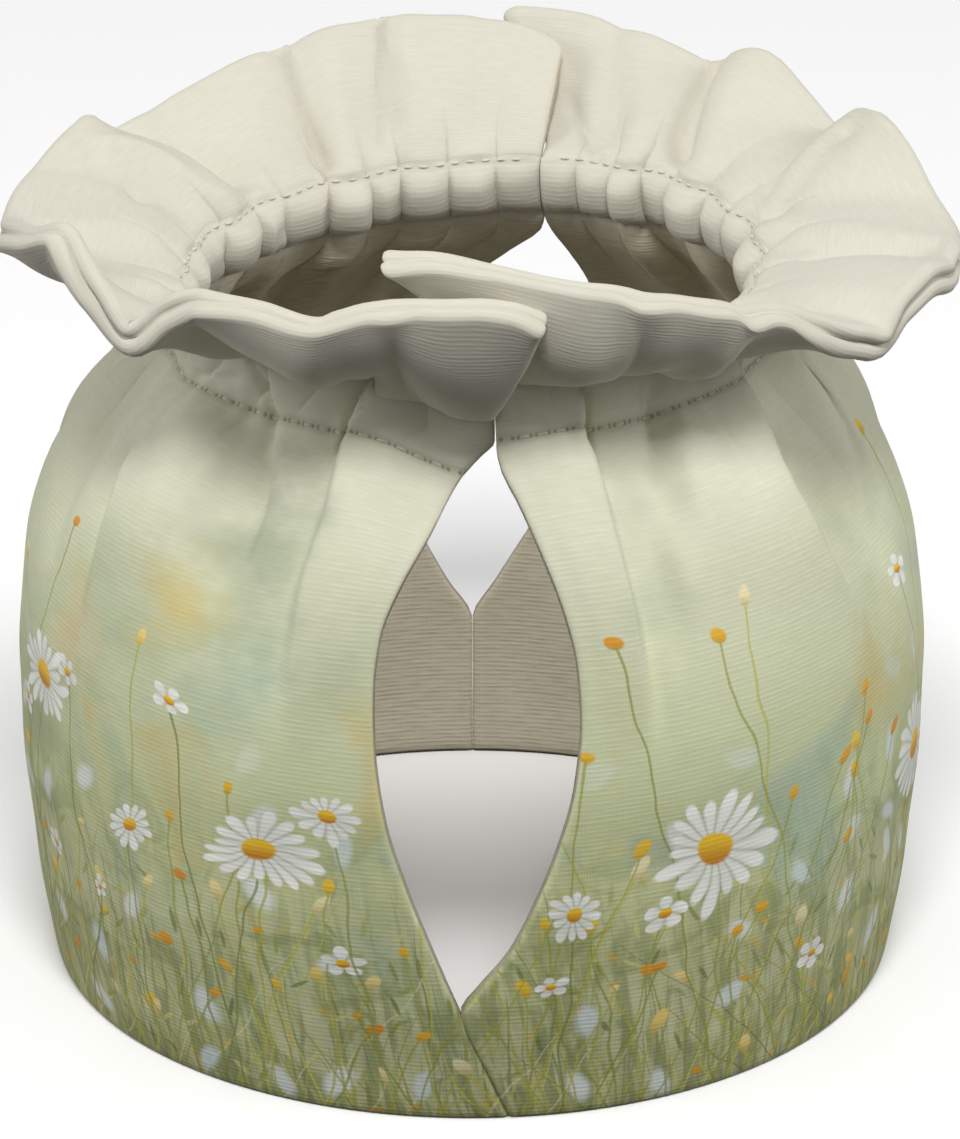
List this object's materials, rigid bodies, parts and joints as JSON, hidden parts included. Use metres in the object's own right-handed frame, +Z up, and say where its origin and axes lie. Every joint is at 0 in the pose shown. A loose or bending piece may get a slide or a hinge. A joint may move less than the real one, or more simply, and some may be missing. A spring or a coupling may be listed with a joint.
{
  "type": "tea cosy",
  "caption": "Hollow padded tea cosy in two joined halves, with openings front and back, an elastic gathered neck and a loose ruffle round the top",
  "frame": {"origin": "centre of the bounding box on the plane the hem rests on", "axes": "+Z up through the neck, -Y to the front opening, +X to the right half as seen from the front"},
  "size_m": [0.1696, 0.1656, 0.1584],
  "materials": {
    "left_half": "ribbed woven cloth, pale at the ruffle and sage green with a floral print below, matte",
    "right_half": "ribbed woven cloth, pale at the ruffle and sage green with a floral print below, matte"
  },
  "bodies": {
    "root": {"left_half": "left_half", "right_half": "right_half"}
  },
  "joints": []
}
